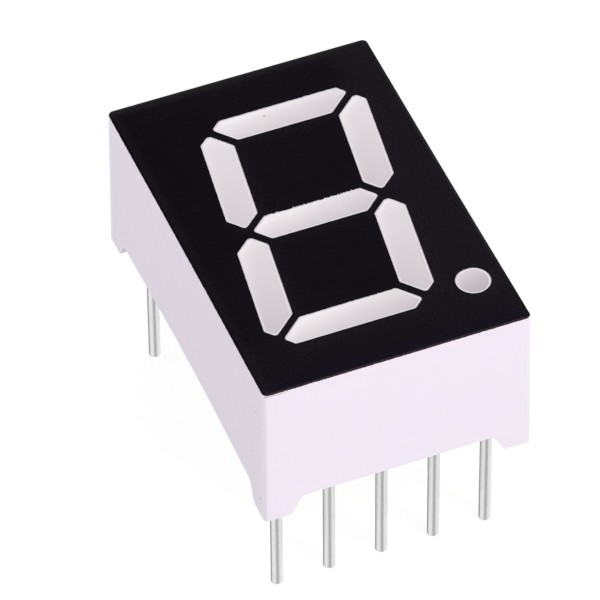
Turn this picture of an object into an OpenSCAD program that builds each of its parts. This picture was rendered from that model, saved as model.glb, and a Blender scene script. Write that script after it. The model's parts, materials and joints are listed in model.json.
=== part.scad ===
// Single-digit seven segment display for a circuit board. A moulded white
// housing holds eight flared light wells, filled with milky epoxy, over eight
// LED dies on a small board. Ten round pins leave the open back, which is
// sealed with a layer of clear potting.
//
// The face looks along +Z, X runs across the digit and Y up it. The origin is
// the centre of the pin pattern, in the plane that the four feet stand on.

/* [Housing] */
// Width of the face, across the digit
face_w = 12.6; // [12.4:0.1:13.4]
// Height of the face, up the digit
face_h = 19; // [18.8:0.1:20.5]
// Distance from the feet to the printed face
body_d = 8; // [7:0.1:10]
// How far each wall leans out between the face and the feet
wall_draft = 0.08; // [0:0.01:0.12]
// How far the middle of a long wall draws in at the open back
wall_bow = 0.13; // [0.05:0.01:0.2]
// Thickness of the walls at the open back
wall_t = 0.6; // [0.5:0.05:0.65]
// Radius of the four upright corners
corner_r = 0.2; // [0.1:0.05:0.4]
// Radius of the edge round the face
edge_r = 0.05; // [0.03:0.01:0.1]
// Height of the four corner feet
foot_h = 1; // [0.6:0.1:1.2]
// Length of the flat end of each foot, along a wall
foot_l = 1.25; // [0.8:0.05:1.4]
// Length of the curved flank that leads from each foot to the wall's rim
foot_flank = 0.7; // [0.5:0.05:1.2]
// Thickness of the skin over the cores that hollow the housing from behind
skin_t = 0.8; // [0.6:0.1:1.2]

/* [Digit] */
// Height of the lit digit
digit_h = 14.2; // [13.8:0.1:14.4]
// Width of the lit digit, before it is slanted
digit_w = 8.05; // [7.8:0.05:8.2]
// Width of the segments' strokes
stroke = 1.5; // [1.3:0.05:1.6]
// Gap between neighbouring segments
seg_gap = 0.35; // [0.25:0.05:0.45]
// Length of the cut across the digit's outer corners
corner_cut = 1.2; // [0.8:0.1:1.4]
// Radius of the segments' own corners
seg_r = 0.18; // [0.13:0.01:0.22]
// Slant of the digit, in degrees
slant = 8; // [4:0.5:10]
// Diameter of the decimal point
point_d = 1.6; // [1.4:0.1:1.7]
// Place of the decimal point across the face
point_x = 4.8; // [4.6:0.05:5]
// Place of the decimal point up the face
point_y = -6.5; // [-6.6:0.05:-6.2]

/* [Face print and epoxy] */
// Thickness of the printed ink
ink_t = 0.04; // [0.02:0.01:0.06]
// Width of the white rim left bare between the ink and the epoxy
bare_rim = 0.1; // [0.05:0.01:0.12]
// Depth of the epoxy's surface below the ink's
epoxy_drop = 0.06; // [0.05:0.01:0.1]
// Depth of the straight land at the mouth of each light well
well_land = 0.35; // [0.2:0.05:0.6]
// Length of a well's floor, as a share of its mouth
floor_along = 0.45; // [0.4:0.05:0.6]
// Width of a well's floor, as a share of its mouth
floor_across = 0.75; // [0.7:0.05:0.9]
// Depth of the potting's surface inside the rim
potting_drop = 0.3; // [0.1:0.05:0.6]

/* [Board and pins] */
// Thickness of the board
board_t = 1; // [0.8:0.1:1.2]
// Thickness of the potting behind the board
potting_t = 1.1; // [0.9:0.1:1.3]
// Distance between neighbouring pins
pitch = 2.54; // [2.5:0.01:2.54]
// Distance between the two rows of pins
row_gap = 15.24; // [15.2:0.01:15.24]
// Diameter of the pins
pin_d = 0.56; // [0.45:0.01:0.6]
// Length of the pins below the feet
pin_reach = 6.5; // [3:0.1:8]
// Radius of the edge round each pin's tip
tip_r = 0.12; // [0.05:0.01:0.2]

/* [Dies and wires] */
// Side of each LED die
die_w = 0.3; // [0.22:0.01:0.36]
// Height of each LED die
die_h = 0.18; // [0.12:0.01:0.24]
// Diameter of the bond wires
wire_d = 0.03; // [0.025:0.005:0.05]
// Height of a bond wire's loop above the die
loop_h = 0.3; // [0.2:0.05:0.4]

/* [Hidden] */
$fn = 48;
cut = 0.5; // how far a cutting shape runs past the surface that it opens
pins_a_row = 5;
SEGMENTS = ["a", "b", "c", "d", "e", "f", "g", "dp"];

// Heights above the feet
face_z = body_d - ink_t;
epoxy_z = body_d - epoxy_drop;
potting_z = foot_h + potting_drop;
board_back = potting_z + potting_t;
board_z = board_back + board_t;
land_z = face_z - well_land;
core_z = face_z - skin_t;

// The cavity in the open back, and the board inside it
cavity = [face_w + 2 * wall_draft - 2 * wall_t, face_h + 2 * wall_draft - 2 * wall_t];
board_play = 0.08;
board = cavity - 2 * [board_play, board_play];
inner_r = 0.3;

// How much of a long wall's bow the face holds straight, and its facets
stiff_share = 0.85;
side_steps = 12;

// The floor of the decimal point's well, and the straight start of its mouth
point_floor_d = 1;
point_mouth_d = point_d - 2 * bare_rim;

// The copper and the solder
copper_t = 0.035;
track_w = 0.3;
bend = 0.6; // how far from a pin or a die a track turns
hole_d = pin_d + 0.14;
pad_d = hole_d + 0.38;
die_pad = 0.5;
wire_pad = 0.34;
bond_reach = 0.42; // from a segment's centre to its die, and to its wire's far end
point_reach = 0.22;
point_pad = 0.36;
glue_d = 0.46;
glue_t = 0.02;
stem_taper = 0.06; // how much a pin narrows from the feet's plane to its top
fillet_h = 0.45;
fillet_lip = 0.05; // how much wider it is than the pin at its end

// The walls that the cores leave, the ledge that the board sits on, and how
// far each side of a core leans in towards the face
web_t = 0.6;
seat_w = 0.25;
core_taper = 0.12;
core_r = 0.2;

white = [0.94, 0.92, 0.96];
ink = [0.07, 0.06, 0.08];
milky = [0.9, 0.88, 0.88];
laminate = [0.82, 0.8, 0.62];
copper = [0.78, 0.5, 0.28];
tin = [0.74, 0.74, 0.74];
gold = [0.86, 0.7, 0.3];
die_colour = [0.32, 0.28, 0.3];
silver_glue = [0.6, 0.6, 0.58];
potting_colour = [0.88, 0.86, 0.8, 0.8];

// ---- Outlines ----

function unit(v) = v / norm(v);
function turned(v, angle) =
    [v.x * cos(angle) - v.y * sin(angle), v.x * sin(angle) + v.y * cos(angle)];
function slanted(p) = [p.x + p.y * tan(slant), p.y];
function reversed(points) = [for (i = [len(points) - 1:-1:0]) points[i]];

// The unit vectors from corner i to its two neighbours
function back_way(points, i) = unit(points[(i + len(points) - 1) % len(points)] - points[i]);
function on_way(points, i) = unit(points[(i + 1) % len(points)] - points[i]);
// The point inside corner i that is d from both of its edges
function inner_point(points, i, d) =
    let (u = back_way(points, i), v = on_way(points, i))
    points[i] + unit(u + v) * d / sin(acos(u * v) / 2);
// A convex outline with every edge moved in by d
function drawn_in(points, d) = [for (i = [0:len(points) - 1]) inner_point(points, i, d)];
// The outline with each of its corners turned into an arc of n steps
function rounded(points, r, n = 4) = [
    for (i = [0:len(points) - 1])
        let (
            centre = inner_point(points, i, r),
            reach = (centre - points[i]) * on_way(points, i),
            from = points[i] + back_way(points, i) * reach - centre,
            to = points[i] + on_way(points, i) * reach - centre,
            turn = atan2(from.x * to.y - from.y * to.x, from * to)
        )
        for (k = [0:n]) centre + turned(from, turn * k / n)
];
// Its corners run round from the lower right one, so that a loft's end faces,
// which pair the first points with the last, lie in strips across it
function rectangle(w, h, x = 0, y = 0) =
    [[x + w / 2, y - h / 2], [x + w / 2, y + h / 2], [x - w / 2, y + h / 2], [x - w / 2, y - h / 2]];

// The housing's outline at height z. The walls lean out towards the feet, and
// the long ones draw in at mid-length, most of all at their open rim.
function body_outline(z, inset = 0) =
    let (
        out = 2 * (wall_draft * (1 - z / face_z) - inset),
        size = [face_w + out, face_h + out],
        bow = wall_bow * (1 - stiff_share * z / face_z)
    )
    [
        for (p = side_points(rounded(rectangle(size.x, size.y), corner_r, 8), side_steps))
            [p.x - sign(p.x) * bow * pow(1 - pow(2 * p.y / size.y, 2), 2), p.y]
    ];
// A closed outline whose long upright sides are split into equal steps
function side_points(points, steps) = [
    for (i = [0:len(points) - 1])
        let (p = points[i], q = points[(i + 1) % len(points)], long = abs(q.y - p.y) > face_h / 2)
        for (k = [0:long ? steps - 1 : 0]) p + (q - p) * k / steps
];

// ---- The digit ----

// Half of segment a's outline and the whole of f's and g's, before the slant.
// Every end is cut at 45 degrees, and i is how far the outline is drawn in.
function half_w(i) = digit_w / 2 - i;
function half_h(i) = digit_h / 2 - i;
function bar(i) = stroke - 2 * i;
function clear(i) = (seg_gap / 2 + i) * sqrt(2);
function chamfer(i) = corner_cut - (2 - sqrt(2)) * i;
function outline_a(i) =
    let (
        half = [
            [bar(i) - half_w(i) + clear(i), half_h(i) - bar(i)],
            [(chamfer(i) + clear(i)) / 2 - half_w(i), half_h(i) + (clear(i) - chamfer(i)) / 2],
            [chamfer(i) - half_w(i), half_h(i)]
        ]
    )
    concat(reversed(half), [for (p = half) [-p.x, p.y]]);
function outline_f(i) = [
    [bar(i) / 2 - half_w(i), clear(i)],
    [bar(i) - half_w(i), clear(i) + bar(i) / 2],
    [bar(i) - half_w(i), half_h(i) - clear(i) - bar(i)],
    [(chamfer(i) - clear(i)) / 2 - half_w(i), half_h(i) - (chamfer(i) + clear(i)) / 2],
    [-half_w(i), half_h(i) - chamfer(i)],
    [-half_w(i), clear(i) + bar(i) / 2]
];
function outline_g(i) =
    let (tip = half_w(i) - bar(i) / 2 - clear(i), shoulder = tip - bar(i) / 2)
    [
        [-tip, 0], [-shoulder, -bar(i) / 2], [shoulder, -bar(i) / 2],
        [tip, 0], [shoulder, bar(i) / 2], [-shoulder, bar(i) / 2]
    ];

// The side of the digit that a segment is on: a mirror of outline a or f
function flip(s) =
    s == "b" ? [-1, 1] : s == "c" ? [-1, -1] : s == "d" || s == "e" ? [1, -1] : [1, 1];
function upright(s) = len(search(s, "bcef")) > 0;
function segment_outline(s, i) =
    let (
        base = s == "g" ? outline_g(i) : upright(s) ? outline_f(i) : outline_a(i),
        side = flip(s),
        placed = [for (p = base) [p.x * side.x, p.y * side.y]]
    )
    side.x * side.y > 0 ? placed : reversed(placed);
function segment_centre(s) =
    s == "g" ? [0, 0]
    : upright(s) ? [flip(s).x * (stroke - digit_w) / 2, flip(s).y * digit_h / 4]
    : [0, flip(s).y * (digit_h - stroke) / 2];

// A segment's rounded and slanted outline, drawn in by i, or narrowed about its
// centre to the shares that the well's floor takes
function mouth(s, i) = rounded([for (p = segment_outline(s, i)) slanted(p)], seg_r - i / 2);
function floor_outline(s) =
    let (
        c = segment_centre(s),
        share = upright(s) ? [floor_across, floor_along] : [floor_along, floor_across]
    )
    rounded([
        for (p = segment_outline(s, bare_rim))
            slanted([c.x + (p.x - c.x) * share.x, c.y + (p.y - c.y) * share.y])
    ], seg_r / 2);

// Where a segment's die sits and where its wire ends
function bond_way(s) = // from the die to the wire's end
    s == "dp" ? [0, -1]
    : s == "a" ? [1, 0]
    : s == "d" || s == "g" ? [-1, 0]
    : unit(slanted([0, flip(s).y]));
function die_place(s) =
    s == "dp" ? [point_x, point_y] - point_reach * bond_way(s)
    : slanted(segment_centre(s)) - bond_reach * bond_way(s);
function wire_place(s) =
    s == "dp" ? [point_x, point_y] + point_reach * bond_way(s)
    : slanted(segment_centre(s)) + bond_reach * bond_way(s);

// Pins 1 to 5 run along the foot of the digit from the left, and 6 to 10 run
// back along its head.
function pin_place(i) =
    i <= pins_a_row
    ? [(i - (pins_a_row + 1) / 2) * pitch, -row_gap / 2]
    : [(3 * pins_a_row + 1) / 2 * pitch - i * pitch, row_gap / 2];

// ---- Shared shapes ----

// A closed solid through outlines of equal length, from the lowest to the
// highest. Each end face is a row of strips, which also suits a hollow side.
module loft(outlines, heights) {
    n = len(outlines[0]);
    top = (len(heights) - 1) * n;
    polyhedron(
        points = [for (k = [0:len(heights) - 1]) for (p = outlines[k]) [p.x, p.y, heights[k]]],
        faces = concat(
            [
                for (i = [0:n / 2 - 2])
                    let (strip = [i, i + 1, n - 2 - i, n - 1 - i])
                    each [strip, [for (p = reversed(strip)) top + p]]
            ],
            [
                for (k = [0:n:top - n]) for (i = [0:n - 1])
                    let (j = (i + 1) % n)
                    each [[k + i, k + n + i, k + n + j], [k + i, k + n + j, k + j]]
            ]
        )
    );
}

module prism(points, low, high) {
    translate([0, 0, low]) linear_extrude(high - low) polygon(points);
}

module disc(place, d, low, high) {
    translate([place.x, place.y, low]) cylinder(h = high - low, d = d);
}

// The space in a light well, from its floor to the given height. A cutting
// shape also runs down through the floor.
module well_space(s, top, below = 0) {
    if (s == "dp") {
        if (below > 0) disc([point_x, point_y], point_floor_d, board_z - below, board_z);
        translate([point_x, point_y, board_z])
            cylinder(h = land_z - board_z, d1 = point_floor_d, d2 = point_mouth_d);
        disc([point_x, point_y], point_mouth_d, land_z, top);
    } else {
        narrow = floor_outline(s);
        wide = mouth(s, bare_rim);
        if (below > 0)
            loft([narrow, narrow, wide, wide], [board_z - below, board_z, land_z, top]);
        else
            loft([narrow, wide, wide], [board_z, land_z, top]);
    }
}

// A row of copper from point to point, with round corners
module track(points) {
    for (i = [0:len(points) - 2]) {
        way = points[i + 1] - points[i];
        translate(points[i]) rotate(atan2(way.y, way.x))
            translate([0, -track_w / 2]) square([norm(way), track_w]);
    }
    for (p = points) translate(p) circle(d = track_w);
}

// ---- The housing ----

module body_block() {
    turns = [0:30:90];
    loft(
        concat([body_outline(0)], [for (a = turns) body_outline(face_z, edge_r * (1 - cos(a)))]),
        concat([0], [for (a = turns) face_z - edge_r * (1 - sin(a))])
    );
}

// The shape that is cut from a wall's rim to leave a foot at each end
module rim_relief(wall) {
    steps = 10;
    meets = 150; // the angle where the flank's wave meets the flat end
    past = 165; // where the cut leaves the foot, just below it
    inner = wall / 2 - foot_l - foot_flank;
    flank = [
        for (k = [0:steps])
            let (t = past * k / steps)
            [inner + foot_flank * t / meets, foot_h * (cos(t) - cos(meets)) / (1 - cos(meets))]
    ];
    outline = concat(flank, [[flank[steps].x, -cut]]);
    rotate([90, 0, 0])
        linear_extrude(face_h * 2, center = true)
            polygon(concat(outline, [for (p = reversed(outline)) [-p.x, p.y]]));
}

// Hollows behind the face keep the moulding's walls even, and the board closes
// them. Each narrows towards the face, so that the mould draws.
module core(points) {
    low = rounded(points, core_r);
    high = rounded(drawn_in(points, core_taper), core_r);
    loft([low, low, high], [board_z - cut, board_z, core_z]);
}

// The line along a slanted side of the digit, web_t outside it, at height y
function beside(side, y) = slanted([side * (digit_w / 2 + web_t), y]);

module cores() {
    ledge = cavity / 2 - [seat_w, seat_w];
    // One inside each loop of the digit
    loop = [digit_w - 2 * stroke - 2 * web_t, (digit_h - 3 * stroke) / 2 - 2 * web_t];
    for (side = [-1, 1])
        core([
            for (p = rectangle(loop.x, loop.y, 0, side * (digit_h - stroke) / 4)) slanted(p)
        ]);
    // One beyond each end of the digit
    end_y = digit_h / 2 + web_t;
    for (side = [-1, 1])
        core(rectangle(2 * ledge.x, ledge.y - end_y, 0, side * (ledge.y + end_y) / 2));
    // One on each side, where the slant leaves room for it
    high = digit_h / 2 - corner_cut / 3;
    low = point_y + point_d / 2 + web_t;
    core([[-ledge.x, 0], beside(-1, 0), beside(-1, high), [-ledge.x, high]]);
    core([beside(1, low), [ledge.x, low], [ledge.x, 0], beside(1, 0)]);
}

module reflector_housing() {
    color(white)
    difference() {
        body_block();
        rim_relief(face_w + 2 * wall_draft);
        rotate(90) rim_relief(face_h + 2 * wall_draft);
        prism(rounded(rectangle(cavity.x, cavity.y), inner_r), -cut, board_z);
        for (s = SEGMENTS) well_space(s, body_d + cut, cut);
        cores();
    }
}

module face_ink() {
    color(ink)
    difference() {
        prism(body_outline(face_z, edge_r), face_z, body_d);
        for (s = SEGMENTS)
            if (s == "dp")
                disc([point_x, point_y], point_d, face_z - cut, body_d + cut);
            else
                prism(mouth(s, 0), face_z - cut, body_d + cut);
    }
}

// ---- The light path ----

module segment(s) {
    color(milky)
    difference() {
        well_space(s, epoxy_z);
        glue(s);
        die(s);
        wire(s);
    }
}

module glue(s) {
    color(silver_glue) disc(die_place(s), glue_d, board_z, board_z + glue_t);
}

module die_attach() {
    for (s = SEGMENTS) glue(s);
}

module die(s) {
    base = board_z + glue_t;
    color(die_colour)
    translate([die_place(s).x, die_place(s).y, base])
        rotate(atan2(bond_way(s).y, bond_way(s).x))
            translate([-die_w / 2, -die_w / 2, 0]) cube([die_w, die_w, die_h]);
}

// A bond wire: half an ellipse from the top of the die down to the board,
// upright where it starts and where it ends
module wire(s) {
    rings = 10;
    sides = 6;
    start = board_z + glue_t + die_h;
    reach = norm(wire_place(s) - die_place(s));
    function centre_at(t) = [
        reach * (1 - cos(t)) / 2,
        start + (board_z - start) * (1 - cos(t)) / 2 + loop_h * sin(t)
    ];
    function way_at(t) =
        unit([reach * sin(t), (board_z - start) * sin(t) + 2 * loop_h * cos(t)]);
    points = [
        for (k = [0:rings])
            let (t = 180 * k / rings, c = centre_at(t), way = way_at(t))
            for (j = [0:sides - 1])
                let (
                    out = wire_d / 2 * cos(360 * j / sides),
                    across = wire_d / 2 * sin(360 * j / sides)
                )
                [c.x + out * way.y, across, c.y - out * way.x]
    ];
    color(gold)
    translate([die_place(s).x, die_place(s).y, 0])
        rotate(atan2(bond_way(s).y, bond_way(s).x))
            polyhedron(
                points = points,
                faces = concat(
                    [[for (j = [0:sides - 1]) j]],
                    [[for (j = [sides - 1:-1:0]) rings * sides + j]],
                    [
                        for (k = [0:rings - 1]) for (j = [0:sides - 1])
                            let (a = k * sides, b = a + sides, i = (j + 1) % sides)
                            each [[a + j, b + j, b + i], [a + j, b + i, a + i]]
                    ]
                )
            );
}

// ---- The board ----

// The common track joins every die to the middle pin of each row.
module common_track() {
    spine = [die_place("a").x, die_place("g").x, die_place("d").x];
    loop_y = abs(die_place("f").y);
    right = pin_place(pins_a_row).x;
    track([pin_place(8), [spine[0], pin_place(8).y - bend], die_place("a"), [spine[0], loop_y],
        die_place("g"), [spine[2], -loop_y], die_place("d"), pin_place(3)]);
    track([die_place("f"), [spine[0], loop_y], die_place("b")]);
    track([die_place("e"), [spine[2], -loop_y], die_place("c"), [right, -loop_y],
        [right, die_place("dp").y + bend], die_place("dp")]);
}

// Each wire's far end has a track to its own pin.
module signal_tracks() {
    upper = wire_place("b");
    lower = wire_place("e");
    track([wire_place("a"), pin_place(7)]);
    track([upper, [pin_place(6).x, upper.y + 2 * bend], pin_place(6)]);
    track([wire_place("f"), pin_place(9)]);
    track([wire_place("g"), [pin_place(10).x, wire_place("g").y], pin_place(10)]);
    track([lower, [pin_place(1).x, lower.y - 2 * bend], pin_place(1)]);
    track([wire_place("d"), pin_place(2)]);
    track([wire_place("c"), pin_place(4)]);
    track([wire_place("dp"), pin_place(5)]);
}

module copper_shape() {
    difference() {
        union() {
            common_track();
            signal_tracks();
            for (s = SEGMENTS) {
                translate(die_place(s)) circle(d = s == "dp" ? point_pad : die_pad);
                translate(wire_place(s)) circle(d = s == "dp" ? track_w : wire_pad);
            }
            for (i = [1:2 * pins_a_row]) translate(pin_place(i)) circle(d = pad_d);
        }
        for (i = [1:2 * pins_a_row]) translate(pin_place(i)) circle(d = hole_d);
    }
}

// The copper lies flush with the board's lacquered surfaces.
module front_copper() {
    color(copper)
    translate([0, 0, board_z - copper_t]) linear_extrude(copper_t) copper_shape();
}

module back_pads() {
    color(copper)
    for (i = [1:2 * pins_a_row])
        difference() {
            disc(pin_place(i), pad_d, board_back, board_back + copper_t);
            disc(pin_place(i), hole_d, board_back - cut, board_back + cut);
        }
}

module circuit_board() {
    color(laminate)
    difference() {
        prism(rounded(rectangle(board.x, board.y), inner_r), board_back, board_z);
        translate([0, 0, board_z - copper_t]) linear_extrude(copper_t + cut) copper_shape();
        for (i = [1:2 * pins_a_row]) {
            disc(pin_place(i), pad_d, board_back - cut, board_back + copper_t);
            disc(pin_place(i), hole_d, board_back - cut, board_z + cut);
        }
    }
}

// The solder's cone under the board, round pin i
module solder_fillet(i) {
    translate([pin_place(i).x, pin_place(i).y, board_back - fillet_h])
        cylinder(h = fillet_h, d1 = pin_d + fillet_lip, d2 = pad_d - fillet_lip);
}

// Solder fills each plated hole and runs down the pin in a fillet.
module solder_joints() {
    color(tin)
    for (i = [1:2 * pins_a_row])
        difference() {
            union() {
                disc(pin_place(i), hole_d, board_back, board_z);
                solder_fillet(i);
            }
            pin_stem(i);
        }
}

// The potting seals the back and fills the play round the board.
module back_potting() {
    color(potting_colour)
    difference() {
        prism(rounded(rectangle(cavity.x, cavity.y), inner_r), potting_z, board_z);
        prism(rounded(rectangle(board.x, board.y), inner_r), board_back, board_z + cut);
        for (i = [1:2 * pins_a_row]) {
            pin_stem(i);
            solder_fillet(i);
        }
    }
}

// The part of pin i inside the body. It narrows towards its top, so that it
// wedges in its hole in the board.
module pin_stem(i) {
    translate([pin_place(i).x, pin_place(i).y, 0])
        cylinder(h = board_z, d1 = pin_d, d2 = pin_d - stem_taper);
}

module pin(i) {
    r = pin_d / 2;
    color(tin) {
        pin_stem(i);
        translate([pin_place(i).x, pin_place(i).y, -pin_reach])
            rotate_extrude()
                union() {
                    square([r - tip_r, pin_reach]);
                    translate([0, tip_r]) square([r, pin_reach - tip_r]);
                    intersection() {
                        translate([r - tip_r, tip_r]) circle(r = tip_r);
                        square(r);
                    }
                }
    }
}

reflector_housing();
face_ink();
for (s = SEGMENTS) {
    segment(s);
    die(s);
    wire(s);
}
circuit_board();
front_copper();
back_pads();
die_attach();
solder_joints();
back_potting();
for (i = [1:2 * pins_a_row])
    pin(i);
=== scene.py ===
"""A single-digit LED display on its ten pins: the finish of every piece, and a plain studio."""
import json
import math

import bmesh
import bpy
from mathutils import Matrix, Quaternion, Vector, noise
from mathutils.geometry import delaunay_2d_cdt
from mathutils.kdtree import KDTree


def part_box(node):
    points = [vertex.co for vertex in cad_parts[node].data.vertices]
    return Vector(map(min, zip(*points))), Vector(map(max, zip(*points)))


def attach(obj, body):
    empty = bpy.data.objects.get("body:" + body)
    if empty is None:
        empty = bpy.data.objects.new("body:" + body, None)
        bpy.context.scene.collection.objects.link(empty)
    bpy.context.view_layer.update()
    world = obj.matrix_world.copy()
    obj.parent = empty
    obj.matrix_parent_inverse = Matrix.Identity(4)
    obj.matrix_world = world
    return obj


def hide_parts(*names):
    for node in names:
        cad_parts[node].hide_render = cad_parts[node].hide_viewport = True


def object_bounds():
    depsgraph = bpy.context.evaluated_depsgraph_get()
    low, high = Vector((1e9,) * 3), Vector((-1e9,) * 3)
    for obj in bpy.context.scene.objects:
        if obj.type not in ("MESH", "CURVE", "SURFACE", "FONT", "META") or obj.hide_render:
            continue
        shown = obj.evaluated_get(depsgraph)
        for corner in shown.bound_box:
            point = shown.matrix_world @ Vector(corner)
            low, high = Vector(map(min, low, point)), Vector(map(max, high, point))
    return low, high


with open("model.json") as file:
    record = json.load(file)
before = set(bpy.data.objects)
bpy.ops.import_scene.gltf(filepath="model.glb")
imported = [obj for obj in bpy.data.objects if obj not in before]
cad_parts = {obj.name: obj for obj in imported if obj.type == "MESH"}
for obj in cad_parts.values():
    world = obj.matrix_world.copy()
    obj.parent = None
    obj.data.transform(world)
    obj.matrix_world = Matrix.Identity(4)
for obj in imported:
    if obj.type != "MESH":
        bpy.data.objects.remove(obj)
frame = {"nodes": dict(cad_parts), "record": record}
cad_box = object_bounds()
cad = frame["nodes"]

MM = 0.001
SEGMENTS = ("a", "b", "c", "d", "e", "f", "g", "dp")
UPRIGHTS = ("b", "c", "e", "f")
PINS = tuple(f"pin_{i}" for i in range(1, 11))

# ---- Sizes taken from the CAD pieces ----

FACE_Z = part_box("face_ink")[0].z  # the moulded face under the ink
INK_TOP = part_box("face_ink")[1].z
EPOXY_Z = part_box("segment_g")[1].z
FLOOR_Z = cad_box[0].z

# ---- Sizes that only the visible finish has ----

EDGE_R = 0.05 * MM  # the moulding's rounded edge, which the ink runs over
OUTLINE_STEP, TORN_STEP = 0.06 * MM, 0.045 * MM  # how closely the ink's edges are drawn
RIPPLE, BITE = 0.09 * MM, 0.055 * MM  # the sizes of the waves and the bites in a torn edge
THIN_REACH = 0.48 * MM  # how far past a window the ink stays thin
RIM_REACH = 0.004 * MM  # how far below the bare rim the epoxy wets the well's wall
DISH_DEPTH = 0.07 * MM
MENISCUS = 0.16 * MM
DEEP_REACH = 0.2 * MM  # how far in from its shore a well looks deep
TIN_SKIN = 0.006 * MM  # how unevenly the tin lies on a pin
POTTING_CLIMB = 0.16 * MM
BOND = 0.01 * MM  # how far the potting reaches into what it sticks to
WELD = 0.0005 * MM  # corners nearer than this are one corner
SLANT = math.radians(8)  # the digit's lean, which the tones of ink and epoxy keep to

# ---- The epoxy's shade, mostly painted shade of the key light on each well's dish ----

GREYEST = 2.0  # the shade that the milky epoxy's grey end stands for
# Painted shade from the key light on each dish: how much each well gains towards its lower right
DISH_SHADE_GAIN = {"a": 0.58, "b": 0.81, "c": 0.85, "d": 0.68, "e": 0.88, "f": 0.70, "g": 0.68, "dp": 0.30}
DISH_SHADE_RATE = 3.4  # how soon it does so
# Painted shade that the decimal point has all over
POINT_SHADE = 0.78  # what the decimal point has all over
# Painted shade of the key light on the dish: how much greyer than its middle a well is
# at one side: low for the bars and the point, left for the uprights
BAR_LEAN, UPRIGHT_LEAN, POINT_LEAN = 0.23, 0.12, 0.27


# ---- The studio ----

def add_object(name, data):
    obj = bpy.data.objects.new(name, data)
    bpy.context.scene.collection.objects.link(obj)
    return obj


def aim(obj, target):
    obj.rotation_mode = "QUATERNION"
    obj.rotation_quaternion = (target - obj.location).to_track_quat("-Z", "Y")


def add_camera():
    """A long lens, above the digit's lower left corner."""
    heading, tilt, roll = math.radians(21.659), math.radians(46.030), math.radians(-0.567)
    target, distance = Vector((-0.987, -0.456, 3.241)) * MM, 279.83 * MM
    data = bpy.data.cameras.new("camera")
    data.sensor_width, data.lens = 36, 374.60  # millimetres
    data.clip_start, data.clip_end = 0.01, 10
    camera = add_object("camera", data)
    along = Vector((
        math.sin(heading) * math.cos(tilt), math.cos(heading) * math.cos(tilt), -math.sin(tilt)
    ))
    camera.location = target - along * distance
    aim(camera, target)
    camera.rotation_quaternion = camera.rotation_quaternion @ Quaternion((0, 0, 1), roll)
    bpy.context.scene.camera = camera


def add_softbox(name, place, size, power, colour=(1, 1, 1)):
    data = bpy.data.lights.new(name, "AREA")
    data.shape, data.size, data.energy, data.color = "DISK", size, power, colour
    lamp = add_object(name, data)
    lamp.location = place
    aim(lamp, Vector((0, 0, 4 * MM)))
    lamp.visible_glossy = lamp.visible_camera = False


def add_stage(name, corners, material):
    mesh = bpy.data.meshes.new(name)
    mesh.from_pydata(corners, [], [tuple(range(len(corners)))])
    mesh.materials.append(material)
    obj = add_object(name, mesh)
    return obj


def add_flag(name, bearing, spread, distance, grey):
    """A grey card that only reflections see. It gives round metal its long bands.

    bearing is the direction that it stands in, and spread the angle that it covers.
    """
    material, tree = new_material(name)
    light = tree.add("ShaderNodeEmission", {"Color": (grey, grey, grey, 1), "Strength": 1.0})
    tree.output(light.outputs[0])
    half, reach = math.radians(spread) / 2, distance / math.cos(math.radians(spread) / 2)
    ends = [math.radians(bearing) + side * half for side in (-1, 1)]
    low, high = -2.5 * distance, 0.0
    card = add_stage(name, [
        (reach * math.sin(angle), reach * math.cos(angle), height)
        for angle, height in ((ends[0], low), (ends[1], low), (ends[1], high), (ends[0], high))
    ], material)
    card.visible_camera = card.visible_diffuse = card.visible_shadow = False
    card.visible_transmission = False


def light_world():
    """Plain white all round. Only its light on matt surfaces is held below full strength."""
    world = bpy.data.worlds.new("studio")
    bpy.context.scene.world = world
    world.use_nodes = True
    tree = Tree(world.node_tree)
    tree.clear()
    path = tree.add("ShaderNodeLightPath").outputs
    seen = tree.math("MAXIMUM", path["Is Camera Ray"], path["Is Glossy Ray"])
    seen = tree.math("MAXIMUM", seen, path["Is Transmission Ray"])
    strength = tree.between(seen, 0.80, 1.0)
    light = tree.add("ShaderNodeBackground", {"Color": (1, 1, 1, 1), "Strength": strength})
    out = tree.add("ShaderNodeOutputWorld")
    tree.link(light.outputs[0], out.inputs["Surface"])


def lay_floor():
    """A pale floor at the pins' tips. It reads as white, keeps a soft shadow, and is open below."""
    material, tree = new_material("floor")
    path = tree.add("ShaderNodeLightPath").outputs
    matt = tree.add("ShaderNodeBsdfDiffuse", {"Color": (0.8, 0.8, 0.8, 1)})
    shadow = tree.add("ShaderNodeBsdfDiffuse", {"Color": (0.2, 0.2, 0.2, 1)})
    glow = tree.add("ShaderNodeEmission", {"Color": (1, 1, 1, 1), "Strength": 0.86})
    lifted = tree.add("ShaderNodeAddShader")
    tree.link(glow.outputs[0], lifted.inputs[0])
    tree.link(shadow.outputs[0], lifted.inputs[1])
    seen = tree.mix_shader(path["Is Camera Ray"], matt.outputs[0], lifted.outputs[0])
    back = tree.add("ShaderNodeNewGeometry").outputs["Backfacing"]
    clear = tree.add("ShaderNodeBsdfTransparent")
    tree.output(tree.mix_shader(back, seen, clear.outputs[0]))
    half, z = 0.6, FLOOR_Z - 0.01 * MM
    corners = [(-half, -half, z), (half, -half, z), (half, half, z), (-half, half, z)]
    add_stage("floor", corners, material).visible_glossy = False


# ---- Node trees ----

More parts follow.
